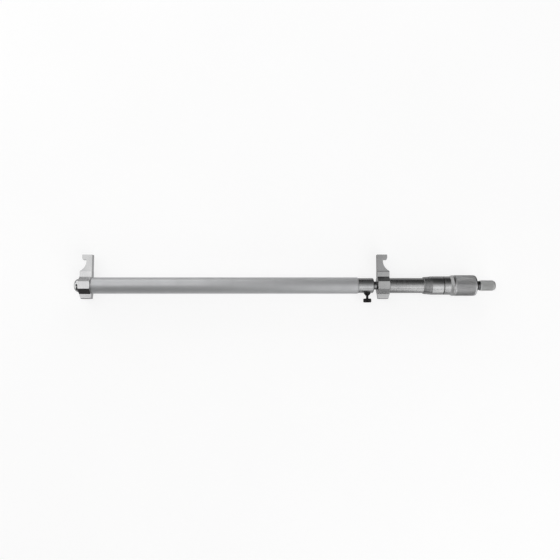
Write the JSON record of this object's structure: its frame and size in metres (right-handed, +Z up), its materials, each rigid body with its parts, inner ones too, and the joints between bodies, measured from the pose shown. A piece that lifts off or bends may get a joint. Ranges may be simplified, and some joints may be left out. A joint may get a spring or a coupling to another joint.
{
  "type": "inside micrometer",
  "caption": "Jaw-type inside micrometer: a long tubular beam with a fixed jaw, and a screw-driven head with thimble and ratchet that slides the second jaw outwards to measure bores.",
  "frame": {"origin": "centre of the bounding box, on the surface that the instrument lies on", "axes": "+X along the instrument's axis towards the ratchet, +Y the way the jaws point, +Z up; the instrument lies on its side"},
  "size_m": [0.3778, 0.043, 0.0186],
  "materials": {
    "satin_tube": "even satin, blasted and plated",
    "satin_chrome": "fine satin chrome",
    "ground_steel": "ground and lapped bright",
    "turned_steel": "turned",
    "blackened_steel": "black oxide",
    "bronze": "turned bronze"
  },
  "bodies": {
    "beam": {"left_jaw": "ground_steel", "end_cap": "ground_steel", "end_plug": "turned_steel", "beam_tube": "satin_tube", "guide_collar": "satin_chrome", "guide_key": "turned_steel", "clamp_bush": "blackened_steel", "thrust_bush": "bronze"},
    "head": {"right_jaw": "ground_steel", "quill": "ground_steel", "inner_sleeve": "turned_steel", "outer_sleeve": "satin_chrome", "adjusting_nut": "turned_steel"},
    "thimble": {"spindle": "ground_steel", "thrust_washer": "bronze", "spindle_lock_nut": "turned_steel", "thimble": "satin_chrome", "ratchet_hub": "turned_steel", "ratchet_screw": "blackened_steel"},
    "ratchet": {"ratchet_knob": "satin_chrome", "ratchet_pawl": "turned_steel", "ratchet_spring": "turned_steel"},
    "clamp_shoe": {"clamp_shoe": "bronze"},
    "clamp_screw": {"clamp_screw": "blackened_steel"}
  },
  "joints": [
    {"name": "thimble_turn", "type": "hinge", "parent": "beam", "child": "thimble", "pos_m": [0, -0.0063, 0.0093], "axis": [-1, 0, 0], "range_deg": [0, 18000]},
    {"name": "head_slide", "type": "slide", "parent": "beam", "child": "head", "axis": [1, 0, 0], "range_m": [0, 0.025]},
    {"name": "ratchet_turn", "type": "hinge", "parent": "thimble", "child": "ratchet", "pos_m": [0, -0.0063, 0.0093], "axis": [-1, 0, 0], "continuous": true},
    {"name": "clamp_shoe_slide", "type": "slide", "parent": "beam", "child": "clamp_shoe", "axis": [0, -1, 0], "range_m": [0, 0.000375]},
    {"name": "clamp_turn", "type": "hinge", "parent": "clamp_shoe", "child": "clamp_screw", "pos_m": [0.0742, -0.0063, 0.0093], "axis": [0, -1, 0], "range_deg": [0, 270]}
  ],
  "couplings": [
    {"joint": "thimble_turn", "follows": "head_slide", "rad_per_m": 12566},
    {"joint": "clamp_turn", "follows": "clamp_shoe_slide", "rad_per_m": 12566}
  ]
}
